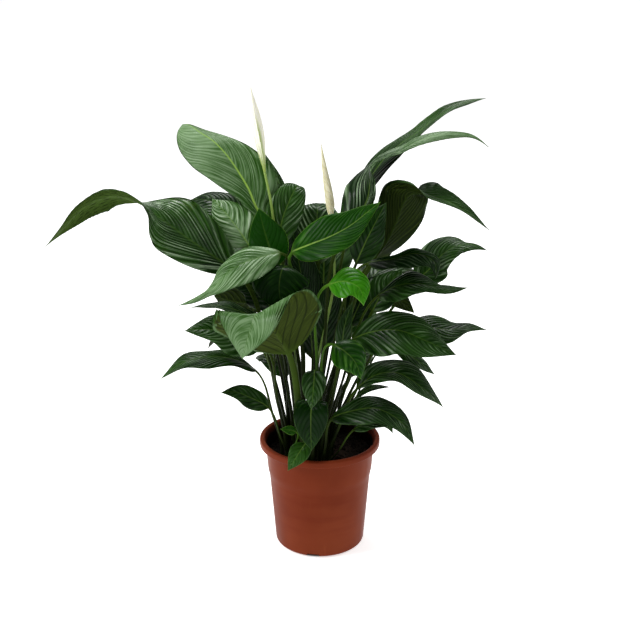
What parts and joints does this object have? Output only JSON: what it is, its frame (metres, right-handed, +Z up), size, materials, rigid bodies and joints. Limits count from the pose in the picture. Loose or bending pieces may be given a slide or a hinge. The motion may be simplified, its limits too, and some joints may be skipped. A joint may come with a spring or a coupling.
{
  "type": "potted peace lily",
  "caption": "Peace lily plant: broad pointed ribbed leaves on long stems and furled white blooms, growing from soil in a tapered plastic nursery pot.",
  "frame": {"origin": "centre of the pot's flat underside, where it stands", "axes": "+Z up along the pot's axis; the fuller side of the plant, the picture's side, faces -Y, with +X to its right"},
  "size_m": [0.5829, 0.399, 0.6531],
  "materials": {
    "pot": "satin terracotta-brown moulded plastic",
    "soil": "dark damp peat crumbs",
    "leaf": "satin dark green leaf with a pale bloom on its raised ribs",
    "young_leaf": "satin bright green young leaf",
    "bloom_stalk": "smooth pale green stalk",
    "spathe": "matte cream-white petal-like sheath"
  },
  "bodies": {
    "root": {"pot": "pot", "soil": "soil", "leaf_left_1": "leaf", "leaf_left_2": "leaf", "leaf_left_3": "leaf", "leaf_left_4": "leaf", "leaf_left_5": "leaf", "leaf_left_6": "leaf", "leaf_left_7": "leaf", "leaf_left_8": "leaf", "leaf_left_9": "leaf", "leaf_top_1": "leaf", "leaf_top_2": "leaf", "leaf_top_3": "leaf", "leaf_top_4": "leaf", "leaf_top_5": "leaf", "leaf_right_1": "leaf", "leaf_right_2": "leaf", "leaf_right_3": "leaf", "leaf_right_4": "leaf", "leaf_right_5": "leaf", "leaf_right_6": "leaf", "leaf_right_7": "leaf", "leaf_right_8": "leaf", "leaf_right_9": "leaf", "leaf_right_10": "leaf", "leaf_right_11": "leaf", "leaf_right_12": "leaf", "leaf_right_13": "leaf", "leaf_right_14": "leaf", "leaf_right_15": "leaf", "leaf_front_1": "leaf", "leaf_front_2": "leaf", "leaf_front_3": "young_leaf", "leaf_front_4": "young_leaf", "leaf_front_5": "leaf", "leaf_front_6": "leaf", "leaf_front_7": "leaf", "leaf_front_8": "leaf", "leaf_front_9": "leaf", "leaf_front_10": "leaf", "leaf_front_11": "leaf", "leaf_front_12": "leaf", "leaf_front_13": "leaf", "leaf_front_14": "young_leaf", "leaf_back_1": "leaf", "leaf_back_2": "leaf", "leaf_back_3": "leaf", "leaf_back_4": "leaf", "leaf_back_5": "leaf", "leaf_back_6": "leaf", "leaf_back_7": "leaf", "leaf_back_8": "leaf", "leaf_back_9": "leaf", "leaf_back_10": "leaf", "leaf_back_11": "leaf", "bloom_1_stalk": "bloom_stalk", "bloom_1_sheath": "spathe", "bloom_2_stalk": "bloom_stalk", "bloom_2_sheath": "spathe"}
  },
  "joints": []
}
